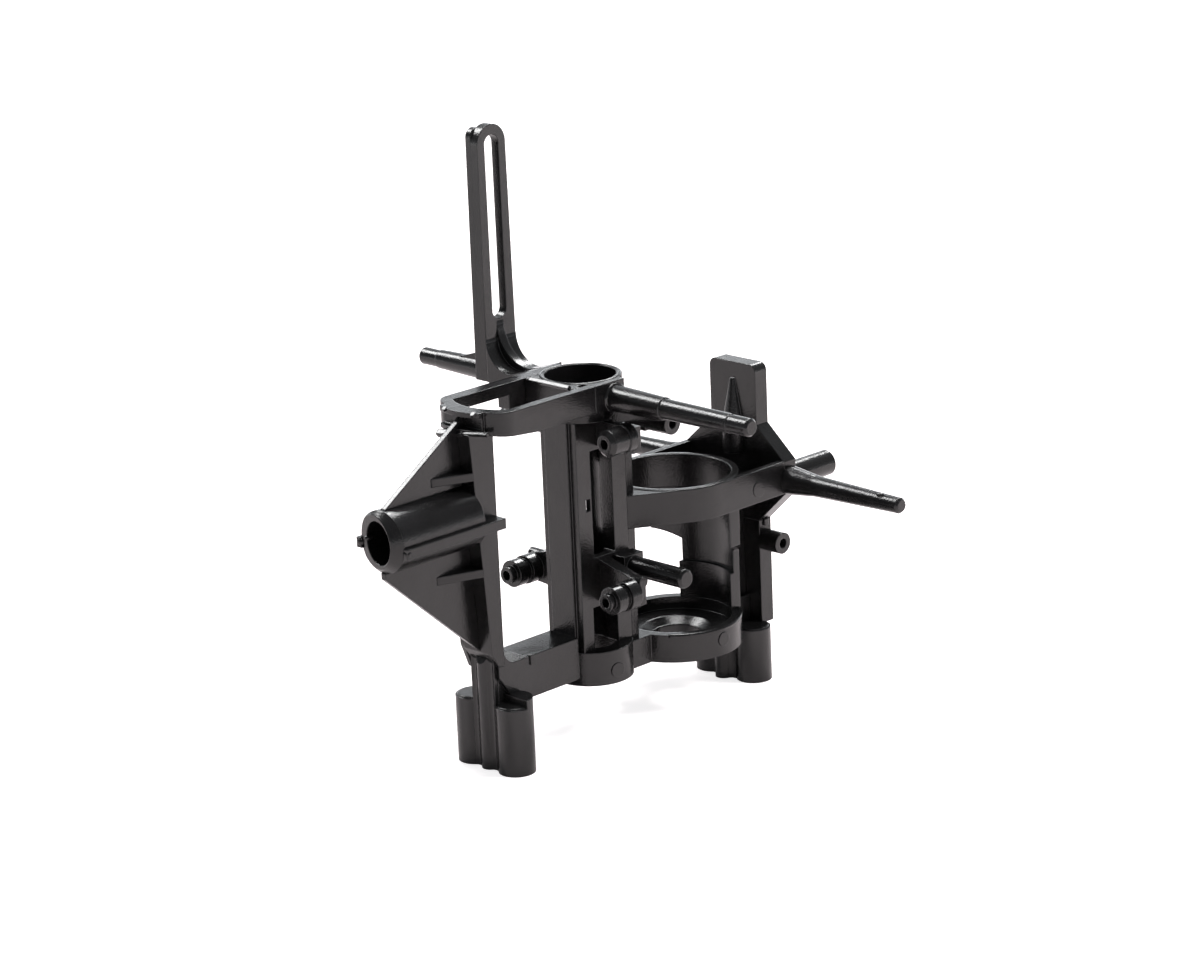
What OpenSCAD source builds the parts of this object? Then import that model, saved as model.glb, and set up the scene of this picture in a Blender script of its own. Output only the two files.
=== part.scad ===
// Main frame of a small model helicopter, one black plastic moulding shown as its members.
// Frame: origin on the main shaft axis, level with the upper canopy posts.
// +X points to the nose, +Y to the left side, +Z up. Millimetres.

/* [Main shaft] */
// Outer diameter of the ball bearings pressed into both seats
bearing_od = 7; // [6:0.5:8]
// Length of each bearing seat
bearing_h = 3.3; // [2.5:0.1:4]
// Wall of the ring round each bearing
seat_wall = 0.55; // [0.5:0.05:1]
// Distance between the middles of the two bearing seats
seat_gap = 27.2; // [24:0.5:32]

/* [Top deck] */
// Length of the deck from the shaft axis to its rear end
deck_len = 16.5; // [14:0.5:20]
// Width of the deck
deck_w = 9.2; // [9:0.2:10]
// Depth of the deck
deck_h = 2.65; // [2:0.05:3.2]
// Width of the thin right rail
rail_right = 0.9; // [0.7:0.1:1]
// Width of the left rail
rail_left = 1.5; // [1:0.1:1.6]

/* [Canopy posts] */
// Distance between the tips of the two upper posts
upper_span = 44.7; // [38:0.5:52]
// Distance between the tips of the two nose posts
nose_span = 42.6; // [36:0.5:50]
// Diameter of the upper posts near the tip
post_d = 1.9; // [1.6:0.1:2.2]
// Diameter of the nose posts near the tip
nose_post_d = 1.6; // [1.4:0.1:1.9]

/* [Swashplate guide] */
// Height of the guide's top above the posts
guide_top = 24.8; // [20:0.5:30]
// Distance of the guide's slotted face from the shaft axis
guide_y = 10.9; // [9.5:0.5:12.5]
// Thickness of the guide
guide_t = 1.65; // [1.4:0.05:2.2]
// Width of the guide at the top
guide_w = 3.7; // [3.4:0.1:4]
// Width of the slot for the swashplate pin
slot_w = 1.9; // [1.4:0.1:2]

/* [Keel] */
// Width of the rear pillar and the lower rail
keel_w = 3.9; // [3.4:0.1:4.4]
// Depth of the lower rail
rail_h = 4.2; // [3.4:0.1:4.8]
// Width of the front pillar that holds the shaft channel
pillar_w = 4.8; // [4.6:0.1:5.4]

/* [Tail boom socket] */
// Bore for the tail boom tube
boom_d = 4.2; // [3.5:0.1:4.6]
// Outer diameter of the socket
socket_od = 6.06; // [5.6:0.1:6.6]
// Distance of the socket's rear end from the shaft axis
socket_end = 26.8; // [24:0.5:30]

/* [Motor mount] */
// Bore of the motor clamp ring
motor_d = 12; // [11:0.5:12.5]
// Distance of the motor axis from the shaft axis
motor_x = 12; // [11.5:0.25:12.5]
// Height of the clamp ring
clamp_h = 3.35; // [2.6:0.05:4]
// Hole in the motor base for the pinion
pinion_d = 4.8; // [3.5:0.1:6]

/* [Nose] */
// Thickness of the nose bulkhead
nose_t = 1.7; // [1.2:0.1:2]
// Width of the nose bulkhead at the canopy posts
nose_w = 13.4; // [13.2:0.1:14.6]
// Width of the tab and of the post below
tab_w = 6.2; // [5.6:0.1:7]

/* [Servo and board bosses] */
// Distance between the left and right servo bosses
servo_span = 13.7; // [12:0.25:16]
// Height between the upper and lower servo screws
servo_pitch = 15.6; // [14:0.1:16.5]
// Pilot hole of every screw boss
pilot_d = 1; // [0.8:0.1:1.2]

/* [Landing gear sockets] */
// Height of the leg sockets
leg_h = 5.6; // [4.5:0.1:7]
// Distance between the two lobes of a socket
lobe_gap = 5.6; // [5:0.1:6.4]
// Diameter of a lobe
lobe_d = 3.64; // [3.4:0.02:4]
// Bore for a landing gear strut
strut_d = 1.8; // [1.4:0.1:2]

/* [Hidden] */
$fn = 64;
eps = 0.01;

plastic = [0.055, 0.055, 0.06];

// Bearing seats and deck levels
r_seat = bearing_od / 2;
r_ring = r_seat + seat_wall;
lip_h = 0.6;
lip_r = r_seat - 1;
deck_top = bearing_h / 2;
deck_bot = deck_top - deck_h;
guide_bot = deck_bot + 0.5;
seat_bot = -bearing_h / 2 - lip_h;
join_x = -0.64 * r_ring;
hub_x = 1.35;
house_bot = -seat_gap - bearing_h / 2;
house_top = house_bot + bearing_h + lip_h - 0.5;
house_lip = 0.4;
shaft_r = 1.6;
end_arc = 6.8;
rear_bar = 1.75;
end_corner = 2;
bay_x = -deck_len + 1;
bay_y = 2.6;
bay_top = deck_top - 0.5;
bay_low = deck_bot + 0.95;
rise_x = -10.5;
deck_rise = 0.65;

// Keel levels
keel_y = keel_w / 2;
rail_top = house_top + 1.6;
rail_bot = rail_top - rail_h;
rear_top_x = -deck_len - 0.1;
rear_low_x = -deck_len + 1.5;
rear_front_x = -deck_len + 2.9;
spine_x = rear_low_x + 0.8;
corner_r = 1.5;
pillar_y = pillar_w / 2;
pillar_back = -3.35;
core_back = -3.7;
core_y = 1.55;
pillar_front = 3.3;
core_front = 4.9;
core_front_y = 1.7;
house_back = -0.84 * r_ring;

// Boom levels
boom_z = -8.7;
socket_r = socket_od / 2;
web_t = 0.6;
web_y = web_t / 2;
key_y = socket_r + 0.47;
key_top = boom_z - 0.1;
key_h = 1;
shelf_h = 0.8;
shelf_up_len = 3.9;
shelf_low_len = 4.5;

// Motor mount levels
motor_r = motor_d / 2;
motor_wall = 0.7;
motor_out = motor_r + motor_wall;
base_bot = house_bot;
base_h = 2.85;
base_top = base_bot + base_h;
base_floor = base_top - 1.3;
stop_h = 3.8;
stop_z = base_top + stop_h;
ring_up = 17.8;
ring_top = base_bot + ring_up;
ring_pocket = 1.7;
ring_bot = ring_top - clamp_h;
cradle_y = 3.55;
flare_y = 5.6;
flare_top = base_bot + 10.3;
flare_low = base_bot + 8.95;
stop_r = motor_r - 0.4;
nose_x = 21.3;
nose_front = nose_x + nose_t;
nose_y = nose_w / 2;
tab_y = tab_w / 2;
tab_top = -1.7;
shoulder_up = 20.95;
shoulder_top = base_bot + shoulder_up;
shoulder_low = base_bot + 14.35;
post_up = 10.95;
post_top = base_bot + post_up;
nose_rod_x = nose_x + nose_t / 2;
nose_rod_up = 15.7;
nose_rod_z = base_bot + nose_rod_up;
peg_up = 13.3;
peg_len = 12.4;

// Legs
leg_top_f = base_bot;
leg_bot = leg_top_f - leg_h;
leg_top_r = rail_bot + 0.3;
lobe_r = lobe_d / 2;
lobe_y = lobe_gap / 2;
leg_x_f = nose_front - 2.8;
leg_x_r = rear_low_x + 1.6;
strut_depth = leg_h - 1;
leg_core_y = 1.55;
back_f = 2.4;
back_r = 1.7;
riser_h = 0.85;

// Bosses
servo_y = servo_span / 2;
servo_top_z = -3.4;
servo_low_z = servo_top_z - servo_pitch;
pilot_r = pilot_d / 2;
pilot_depth = 3;
board_r = 1.1;
board_end = 6.55;

function rear_x(z) = rear_top_x
    + (rear_low_x - rear_top_x) * (deck_bot - z) / (deck_bot - rail_top);

// A box given by its two opposite corners
module block(lo, hi) {
    translate(lo)
        cube([hi[0] - lo[0], hi[1] - lo[1], hi[2] - lo[2]]);
}

// A round bar or cone along Y, from y0 outwards on side s
module bar_y(x, z, s, y0, y1, r0, r1) {
    translate([x, s * y0, z])
        rotate([-s * 90, 0, 0])
            cylinder(h = y1 - y0, r1 = r0, r2 = r1);
}

// A round bar along X
module bar_x(y, z, x0, x1, r) {
    translate([x0, y, z])
        rotate([0, 90, 0])
            cylinder(h = x1 - x0, r = r);
}

// A plate drawn in X and Z, centred on y = 0
module plate_xz(t) {
    translate([0, t / 2, 0])
        rotate([90, 0, 0])
            linear_extrude(t)
                children();
}

// A plate drawn in Y and Z, from x0 towards the nose
module plate_yz(x0, t) {
    translate([x0, 0, 0])
        rotate([90, 0, 90])
            linear_extrude(t)
                children();
}

// Outline of the deck: a wide arc at the rear with rounded corners
module deck_outline() {
    side_y = deck_w / 2 - end_corner;
    corner_x = -deck_len + end_corner + 1.3;
    intersection() {
        union() {
            translate([-deck_len + end_arc, 0])
                circle(end_arc);
            translate([-deck_len + end_arc, -deck_w])
                square([deck_len - end_arc + join_x, 2 * deck_w]);
        }
        union() {
            for (s = [-1, 1])
                translate([corner_x, s * side_y])
                    circle(end_corner);
            translate([-deck_len - 1, -side_y])
                square([deck_len + 1, 2 * side_y]);
            translate([corner_x, -deck_w / 2])
                square([deck_len, deck_w]);
        }
    }
}

// Side view of the deck: the underside rises towards the rear end
module deck_side() {
    polygon([
        [-deck_len - 1, deck_top + 1], [-deck_len - 1, deck_bot + deck_rise],
        [rise_x, deck_bot], [join_x + 1, deck_bot], [join_x + 1, deck_top + 1]
    ]);
}

function under_x(x) = x > rise_x
    ? deck_bot
    : deck_bot + deck_rise * (rise_x - x) / (rise_x + deck_len + 1);

// Deck with its rounded rear end, the bay in that end and the window over the gear
module top_deck() {
    window_x = -deck_len + rear_bar;
    arc_x = window_x + end_arc - rear_bar + 0.6;
    color(plastic)
        intersection() {
            translate([0, 0, deck_bot - 1])
                linear_extrude(deck_top - deck_bot + 1)
                    difference() {
                        deck_outline();
                        intersection() {
                            translate([window_x, -deck_w / 2 + rail_right])
                                square([deck_len, deck_w - rail_right - rail_left]);
                            union() {
                                translate([arc_x, 0])
                                    circle(arc_x - window_x);
                                translate([arc_x, -deck_w])
                                    square([deck_len, 2 * deck_w]);
                            }
                        }
                        circle(r_ring);
                    }
            plate_xz(2 * deck_w)
                deck_side();
            difference() {
                block([-deck_len - 1, -deck_w, deck_bot - 2], [join_x + 1, deck_w, deck_top + 2]);
                block([-deck_len - 2, -bay_y, bay_low], [bay_x, bay_y, bay_top]);
            }
        }
}

// Upper bearing seat: ring with a bore from above and a lip below
module upper_bearing_seat() {
    color(plastic)
        difference() {
            union() {
                translate([0, 0, seat_bot])
                    cylinder(h = deck_top - seat_bot, r = r_ring);
                block([join_x, -deck_w / 2, deck_bot], [hub_x, deck_w / 2, deck_top]);
            }
            translate([0, 0, -bearing_h / 2])
                cylinder(h = bearing_h + eps, r = r_seat);
            translate([0, 0, seat_bot - eps])
                cylinder(h = lip_h + 2 * eps, r = lip_r);
        }
}

// Thin web under or over a post, drawn in Y and Z
module post_web(x, w, s, pts) {
    translate([x - w / 2, 0, 0])
        mirror([0, s < 0 ? 1 : 0, 0])
            plate_yz(0, w)
                polygon(pts);
}

module post_tip(x, z, s, y0, y1, r) {
    bar_y(x, z, s, y0, y1 - 0.25, r, r);
    bar_y(x, z, s, y1 - 0.25, y1, r, r - 0.2);
}

module upper_post_right() {
    tip = upper_span / 2;
    step = deck_w / 2 + 6.7;
    peg = tip - 2.6;
    r = post_d / 2;
    color(plastic) {
        bar_y(0, 0, -1, deck_w / 2, step, 1.3, r + 0.16);
        bar_y(0, 0, -1, step - eps, peg, r + 0.06, r - 0.02);
        post_tip(0, 0, -1, peg - eps, tip, r - 0.08);
        post_web(0, 1.1, -1, [[deck_w / 2, 0], [deck_w / 2, -2.3], [step, -r - 0.1], [step, 0]]);
    }
}

module upper_post_left() {
    tip = upper_span / 2;
    root = guide_y + guide_t;
    peg = tip - 2.6;
    r = post_d / 2;
    color(plastic) {
        bar_y(0, 0, 1, root, peg, r + 0.2, r);
        post_tip(0, 0, 1, peg - eps, tip, r - 0.08);
        post_web(0, 1.1, 1, [
            [root, 0], [root, 1.75], [root + 1.2, 1.75], [root + 4.3, 0.8], [root + 4.3, 0]
        ]);
    }
}

// Upright guide: a round-topped blade with a long slot for the swashplate pin
module swash_guide() {
    front_t = 1;
    top_r = guide_w / 2;
    low_r = top_r + 0.2;
    slot_r = slot_w / 2;
    slot_top = guide_top - 1.03 - slot_r;
    slot_low = 5.55 + slot_r;
    solid_top = 5;
    rib_r = top_r / 2;
    rib_top = guide_top - 0.3 - rib_r;
    color(plastic) {
        translate([0, guide_y + front_t / 2, 0])
            plate_xz(front_t)
                difference() {
                    union() {
                        polygon([
                            [-low_r, guide_bot], [low_r, guide_bot],
                            [top_r, guide_top - top_r], [-top_r, guide_top - top_r]
                        ]);
                        translate([0, guide_top - top_r])
                            circle(top_r);
                    }
                    translate([-slot_r, slot_low])
                        square([slot_w, slot_top - slot_low]);
                    translate([0, slot_low])
                        circle(slot_r);
                    translate([0, slot_top])
                        circle(slot_r);
                }
        translate([0, guide_y + (guide_t + front_t - eps) / 2, 0])
            plate_xz(guide_t - front_t + eps) {
                polygon([
                    [-low_r, guide_bot], [low_r, guide_bot],
                    [low_r - 0.05, solid_top], [0, solid_top],
                    [0, rib_top], [-top_r, rib_top]
                ]);
                translate([-rib_r, rib_top])
                    circle(rib_r);
            }
    }
}

// Curved foot between the deck and the guide, with a deeper rib in the middle
module foot_curve(z, r) {
    difference() {
        translate([guide_y - r, z - eps])
            square([r, r]);
        translate([guide_y - r, z + r])
            circle(r);
    }
}

module guide_foot() {
    half = guide_w / 2 + 0.2;
    foot_z = deck_top - 0.9;
    color(plastic) {
        plate_yz(-half, 2 * half) {
            polygon([
                [deck_w / 2, deck_bot], [guide_y - 2, deck_bot], [guide_y, guide_bot],
                [guide_y, foot_z], [guide_y - 3.2, foot_z], [deck_w / 2, deck_top]
            ]);
            foot_curve(foot_z, 3);
        }
        plate_yz(-0.45, 0.9) {
            foot_curve(foot_z + 0.4, 4.2);
            polygon([
                [deck_w / 2, deck_top - 1], [guide_y - 1, deck_top - 1],
                [guide_y - 2, foot_z + 0.55], [guide_y - 4.2, foot_z + 0.4], [deck_w / 2, deck_top]
            ]);
        }
    }
}

module pillar_shape(t) {
    plate_xz(t)
        polygon([
            [spine_x - 0.1, rail_top], [rear_front_x, rail_top],
            [rear_front_x, under_x(rear_front_x)], [rear_top_x, under_x(rear_top_x)],
            [rear_low_x - 0.1, rail_top + 1.4]
        ]);
}

module rear_pillar() {
    color(plastic)
        pillar_shape(keel_w);
}

// Fillet that fills an inside corner of the big window
module inner_corner(x, z, sx) {
    translate([x, 0, z])
        mirror([sx < 0 ? 1 : 0, 0, 0])
            plate_xz(keel_w)
                difference() {
                    square(corner_r);
                    translate([corner_r, corner_r])
                        circle(corner_r);
                }
}

// Side view of the rail: its rear end slopes forward over the leg
module rail_side() {
    polygon([
        [spine_x - 0.1, rail_top], [core_back, rail_top], [core_back, house_top],
        [house_back, house_top], [house_back, rail_bot],
        [rear_front_x + 1.4, rail_bot], [spine_x - 0.1, rail_top - 1.2]
    ]);
}

module lower_rail() {
    color(plastic)
        difference() {
            union() {
                plate_xz(keel_w)
                    rail_side();
                block([spine_x, -leg_core_y, rail_bot], [rear_front_x + 2, leg_core_y, rail_top - 1]);
                inner_corner(rear_front_x, rail_top - eps, 1);
            }
            translate([0, 0, house_bot - 1])
                cylinder(h = house_top - house_bot + 1, r = r_ring);
        }
}

// Front pillar: the main shaft runs down its channel between the two seats
module front_pillar() {
    trough_top = -5.4;
    trough_low = servo_low_z + 2.85;
    foot_top = servo_low_z - 2.15;
    left_top = -8;
    color(plastic)
        difference() {
            union() {
                block([pillar_back, -pillar_y, house_top], [pillar_front, pillar_y, seat_bot]);
                block([core_back, -core_y, house_top], [pillar_back + eps, core_y, seat_bot]);
                block([pillar_front - eps, -core_front_y, base_top], [core_front, core_front_y, seat_bot]);
            }
            translate([0, 0, house_top - 1])
                cylinder(h = seat_bot - house_top + 2, r = shaft_r);
            translate([0, 0, house_bot])
                cylinder(h = house_top - house_bot, r = r_ring);
            block([-1.5, -pillar_y - 1, trough_low], [1.4, 0, trough_top]);
            block([-1.9, -pillar_y - 1, house_top - 1], [1.4, 0, foot_top]);
            block([-2.6, -pillar_y + 0.6, -13], [0, 0, left_top - 0.5]);
            block([-2.3, -pillar_y - 1, -11.3], [-1.7, 0, -10.1]);
            block([-2.6, 0.8, trough_low + 1], [2.6, pillar_y + 1, left_top]);
        }
}

// Lower bearing seat: bore from below
module lower_bearing_seat() {
    color(plastic)
        difference() {
            translate([0, 0, house_bot])
                cylinder(h = house_top - house_bot, r = r_ring);
            translate([0, 0, house_bot - eps])
                cylinder(h = house_top - house_bot - house_lip + eps, r = r_seat);
            translate([0, 0, house_bot - eps])
                cylinder(h = house_top - house_bot + 1, r = lip_r);
        }
}

// Socket with a bevelled rim; its rear end is cut a little askew
module boom_socket() {
    rim = 0.5;
    skew = 11.5;
    color(plastic)
        difference() {
            union() {
                bar_x(0, boom_z, -socket_end + rim, rear_front_x - 1, socket_r);
                translate([-socket_end - rim, 0, boom_z])
                    rotate([0, 90, 0])
                        cylinder(h = 2 * rim + eps, r1 = socket_r - 2 * rim, r2 = socket_r);
            }
            bar_x(0, boom_z, -socket_end - 1, rear_x(boom_z) - 0.6, boom_d / 2);
            translate([-socket_end, 0, boom_z])
                rotate([0, 0, -skew])
                    translate([-4, -socket_od, -socket_od])
                        cube([4, 2 * socket_od, 2 * socket_od]);
            pillar_shape(2 * socket_od);
        }
}

// Key along the side of the socket; it runs on past the pillar
module boom_key(s) {
    lo_y = s < 0 ? -key_y : keel_y;
    hi_y = s < 0 ? -keel_y : key_y;
    color(plastic)
        difference() {
            block([-socket_end + 0.4, lo_y, key_top - key_h], [rear_front_x - 0.3, hi_y, key_top]);
            bar_x(0, boom_z, -socket_end, rear_x(boom_z + socket_r) - 0.2, socket_r);
        }
}

module boom_key_right() {
    boom_key(-1);
}

module boom_key_left() {
    boom_key(1);
}

// Gusset between the deck and the socket; its top stands in the bay of the deck
module gusset_upper() {
    color(plastic)
        difference() {
            plate_xz(web_t)
                polygon([
                    [bay_x, bay_top], [-socket_end + 0.7, boom_z + socket_r - 0.05],
                    [-socket_end + 0.7, boom_z], [rear_x(boom_z), boom_z],
                    [rear_top_x, under_x(rear_top_x)], [-deck_len, under_x(-deck_len)],
                    [-deck_len, bay_low], [bay_x, bay_low]
                ]);
            bar_x(0, boom_z, -socket_end - 1, 0, socket_r);
        }
}

module gusset_lower() {
    low_z = rail_top + 1.5;
    color(plastic)
        difference() {
            plate_xz(web_t)
                polygon([
                    [rear_x(boom_z), boom_z], [-socket_end + 0.4, boom_z],
                    [-socket_end + 0.4, boom_z - socket_r - 0.6], [rear_x(low_z), low_z]
                ]);
            bar_x(0, boom_z, -socket_end - 1, 0, socket_r);
        }
}

// Small level shelf in the corner between a gusset and the pillar
module shelf(z, s, len) {
    color(plastic)
        difference() {
            translate([0, 0, z])
                linear_extrude(shelf_h)
                    polygon([
                        [rear_x(z) - len, s * web_y],
                        [rear_front_x, s * web_y],
                        [rear_front_x, s * keel_y],
                        [rear_x(z), s * keel_y]
                    ]);
            pillar_shape(2 * keel_w);
        }
}

module shelf_upper_right() {
    shelf(-4.9, -1, shelf_up_len);
}

module shelf_upper_left() {
    shelf(-4.9, 1, shelf_up_len);
}

module shelf_lower_right() {
    shelf(-14.5, -1, shelf_low_len);
}

module shelf_lower_left() {
    shelf(-14.5, 1, shelf_low_len);
}

// Upper servo boss: domed, on a thin arm from the pillar
module servo_mount_upper(s) {
    arm_x = -0.6;
    arm_front = 0.5;
    tip_x = -3.9;
    y_end = servo_y + 0.55;
    color(plastic)
        difference() {
            union() {
                block(
                    [arm_x, s < 0 ? -y_end : pillar_y, servo_top_z - 1.6],
                    [arm_front, s < 0 ? -pillar_y : y_end, servo_top_z + 0.95]
                );
                bar_x(s * servo_y, servo_top_z, tip_x + 0.4, arm_x + eps, 1.32);
                bar_x(s * servo_y, servo_top_z, arm_x - 1, arm_x + eps, 1.44);
                translate([tip_x, s * servo_y, servo_top_z])
                    rotate([0, 90, 0])
                        cylinder(h = 0.4, r1 = 0.9, r2 = 1.32);
            }
            bar_x(s * servo_y, servo_top_z, tip_x - 1, tip_x + pilot_depth, pilot_r);
        }
}

// Lower servo boss: stepped rings on a wedge-shaped arm
module servo_mount_lower(s) {
    arm_x = -0.9;
    arm_front = 0.4;
    tip_x = -4.6;
    y_end = servo_y + 0.55;
    color(plastic)
        difference() {
            union() {
                mirror([0, s < 0 ? 1 : 0, 0])
                    plate_yz(arm_x, arm_front - arm_x)
                        polygon([
                            [pillar_y, servo_low_z + 2.6], [y_end, servo_low_z + 1.3],
                            [y_end, servo_low_z - 1.3], [pillar_y, servo_low_z - 1.7]
                        ]);
                bar_x(s * servo_y, servo_low_z, tip_x, arm_x + eps, 0.85);
                bar_x(s * servo_y, servo_low_z, tip_x + 0.7, tip_x + 1.8, 1.36);
                bar_x(s * servo_y, servo_low_z, tip_x + 1.8 - eps, arm_x + eps, 1.12);
                bar_x(s * servo_y, servo_low_z, arm_x - 1.3, arm_x + eps, 1.45);
                bar_y(-0.2, servo_low_z + 1.15, s, pillar_y, y_end + 0.35, 0.55, 0.55);
            }
            bar_x(s * servo_y, servo_low_z, tip_x - 1, tip_x + pilot_depth, pilot_r);
        }
}

module servo_mount_upper_right() {
    servo_mount_upper(-1);
}

module servo_mount_upper_left() {
    servo_mount_upper(1);
}

module servo_mount_lower_right() {
    servo_mount_lower(-1);
}

module servo_mount_lower_left() {
    servo_mount_lower(1);
}

// Pin that keeps the wires clear of the gear
module wire_pin() {
    pin_x = 2.4;
    pin_z = servo_low_z + 1.4;
    pin_end = pillar_y + 8.6;
    color(plastic) {
        block([pin_x - 1.3, -pillar_y - 1.5, pin_z - 1.15], [pin_x + 1.3, -pillar_y, pin_z + 1.15]);
        post_tip(pin_x, pin_z, -1, pillar_y + 1.5 - eps, pin_end, 0.98);
    }
}

// Arm ahead of the pillar with the upper boss for the control board
module board_arm() {
    boss_x = core_front + 0.86;
    boss_z = -3.57;
    boss_root = board_end - 3.5;
    arm_front = 1.1;
    color(plastic)
        difference() {
            union() {
                block(
                    [core_front, -boss_root - 0.6, boss_z - 1.05],
                    [core_front + arm_front, 1.2, boss_z + 1.05]
                );
                bar_y(boss_x, boss_z, -1, boss_root, board_end, board_r, board_r);
            }
            bar_y(boss_x, boss_z, -1, board_end - pilot_depth, board_end + 1, pilot_r, pilot_r);
        }
}

module board_boss_front() {
    boss_z = base_bot + 8.8;
    color(plastic)
        difference() {
            bar_y(nose_rod_x, boss_z, -1, tab_y, tab_y + 2.4, board_r, board_r);
            bar_y(nose_rod_x, boss_z, -1, tab_y + 0.3, tab_y + 3.4, pilot_r, pilot_r);
        }
}

// Clamp ring round the motor, carried from the pillar to the bulkhead
module motor_ring() {
    neck_x = motor_x - 0.6 * motor_out;
    pocket = ring_bot + ring_pocket;
    color(plastic)
        difference() {
            union() {
                translate([0, 0, ring_bot])
                    linear_extrude(clamp_h)
                        polygon([
                            [pillar_front, -pillar_y], [neck_x, -0.8 * motor_out],
                            [motor_x, -motor_out], [nose_x, -motor_out],
                            [nose_x, motor_out], [motor_x, motor_out],
                            [neck_x, 0.8 * motor_out], [pillar_front, pillar_y],
                            [pillar_front, core_front_y], [core_front, core_front_y],
                            [core_front, -core_front_y], [pillar_front, -core_front_y]
                        ]);
                translate([motor_x, 0, ring_bot])
                    cylinder(h = clamp_h, r = motor_out);
            }
            translate([motor_x, 0, ring_bot - 1])
                cylinder(h = clamp_h + 2, r = motor_r);
            difference() {
                block([motor_x, -motor_r, pocket], [nose_x + 1, motor_r, ring_top + 1]);
                translate([motor_x, 0, pocket - 1])
                    cylinder(h = clamp_h + 2, r = motor_out);
            }
        }
}

// Shell round the motor axis between two levels
module shell(r_in, z0, z1) {
    translate([motor_x, 0, z0])
        difference() {
            cylinder(h = z1 - z0, r = motor_out);
            translate([0, 0, -1])
                cylinder(h = z1 - z0 + 2, r = r_in);
        }
}

// Shell on the nose side of the motor, flared at the top, with a stop near its foot
module motor_cradle() {
    color(plastic) {
        intersection() {
            shell(motor_r, base_top, ring_bot);
            plate_yz(motor_x + 1, motor_out)
                polygon([
                    [-cradle_y, base_top - 1], [cradle_y, base_top - 1],
                    [cradle_y, flare_low], [flare_y - 0.1, flare_top], [flare_y, ring_bot + 1],
                    [-flare_y, ring_bot + 1], [-flare_y + 0.1, flare_top], [-cradle_y, flare_low]
                ]);
        }
        intersection() {
            shell(stop_r, base_top, stop_z);
            block([motor_x + 1, -cradle_y, base_top - 1], [nose_x, cradle_y, stop_z + 1]);
        }
        difference() {
            block([motor_x, -1, base_top], [nose_x, 1, ring_bot]);
            translate([motor_x, 0, base_top - 1])
                cylinder(h = ring_bot - base_top + 2, r = motor_out - 0.1);
        }
    }
}

// Motor base: shallow cup with the pinion hole
module motor_base() {
    cup_r = motor_out - 0.1;
    hole_r = pinion_d / 2;
    color(plastic)
        difference() {
            union() {
                translate([motor_x, 0, base_bot])
                    cylinder(h = base_top - base_bot, r = cup_r);
                block([2, -pillar_y, base_bot], [motor_x, pillar_y, base_top]);
                block([motor_x, -1.5, base_bot], [nose_x, 1.5, base_top]);
            }
            translate([0, 0, base_bot - 1])
                cylinder(h = base_top - base_bot + 2, r = r_ring);
            translate([motor_x, 0, base_floor])
                cylinder(h = 5, r = stop_r);
            translate([motor_x, 0, base_bot - 1])
                cylinder(h = 5, r = hole_r);
            translate([motor_x, 0, base_floor - 0.7])
                cylinder(h = 0.7 + eps, r1 = hole_r, r2 = hole_r + 1.1);
        }
}

// Six-sided bulkhead that carries both nose posts
module nose_bulkhead() {
    color(plastic)
        plate_yz(nose_x, nose_t)
            polygon([
                [-tab_y, shoulder_top], [tab_y, shoulder_top],
                [nose_y, shoulder_top - 3.2], [nose_y, shoulder_low],
                [tab_y, post_top], [-tab_y, post_top],
                [-nose_y, shoulder_low], [-nose_y, shoulder_top - 3.2]
            ]);
}

// Tab above the bulkhead with a tapered rib on its rear face
module nose_tab() {
    edge_r = 0.8;
    rib_top = -3.4;
    rib_r = 1.2;
    color(plastic) {
        plate_yz(nose_x, nose_t) {
            translate([-tab_y, shoulder_top])
                square([tab_w, tab_top - edge_r - shoulder_top]);
            translate([-tab_y + edge_r, tab_top - edge_r - eps])
                square([tab_w - 2 * edge_r, edge_r + eps]);
            translate([-tab_y + edge_r, tab_top - edge_r])
                circle(edge_r);
            translate([tab_y - edge_r, tab_top - edge_r])
                circle(edge_r);
        }
        intersection() {
            union() {
                translate([nose_x, 0, ring_top])
                    cylinder(h = shoulder_top - ring_top + eps, r = rib_r);
                translate([nose_x, 0, shoulder_top])
                    cylinder(h = rib_top - shoulder_top, r1 = rib_r, r2 = 0.3);
            }
            block([nose_x - 2, -2, ring_top - 1], [nose_x, 2, tab_top]);
        }
    }
}

module nose_post() {
    color(plastic)
        block([nose_x, -tab_y, leg_top_f], [nose_front, tab_y, post_top]);
}

module nose_canopy_post(s) {
    tip = nose_span / 2;
    r = nose_post_d / 2;
    flare = nose_y + 3.6;
    color(plastic) {
        bar_y(nose_rod_x, nose_rod_z, s, nose_y, flare, 1.5, r + 0.28);
        bar_y(nose_rod_x, nose_rod_z, s, flare - eps, tip - 0.25, r + 0.28, r);
        bar_y(nose_rod_x, nose_rod_z, s, tip - 0.25 - eps, tip, r, r - 0.2);
    }
}

module nose_post_right() {
    nose_canopy_post(-1);
}

module nose_post_left() {
    nose_canopy_post(1);
}

// Peg that points forward from the bulkhead
module nose_peg() {
    peg_r = 1.34;
    peg_z = base_bot + peg_up;
    peg_end = nose_front + peg_len;
    color(plastic) {
        bar_x(0, peg_z, nose_front, peg_end - 0.3, peg_r);
        translate([peg_end - 0.3, 0, peg_z])
            rotate([0, 90, 0])
                cylinder(h = 0.3, r1 = peg_r, r2 = peg_r - 0.3);
    }
}

// Centre of a fillet of radius r between a disc at p and a disc at q, on the rear side
function fillet_at(p, rp, q, rq, r) = let(
    d = [q[0] - p[0], q[1] - p[1]],
    gap = norm(d),
    along = (pow(rp + r, 2) - pow(rq + r, 2) + gap * gap) / (2 * gap),
    out = sqrt(pow(rp + r, 2) - along * along),
    side = q[1] > p[1] ? 1 : -1
) [
    p[0] + (d[0] * along - side * d[1] * out) / gap,
    p[1] + (d[1] * along + side * d[0] * out) / gap
];

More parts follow.
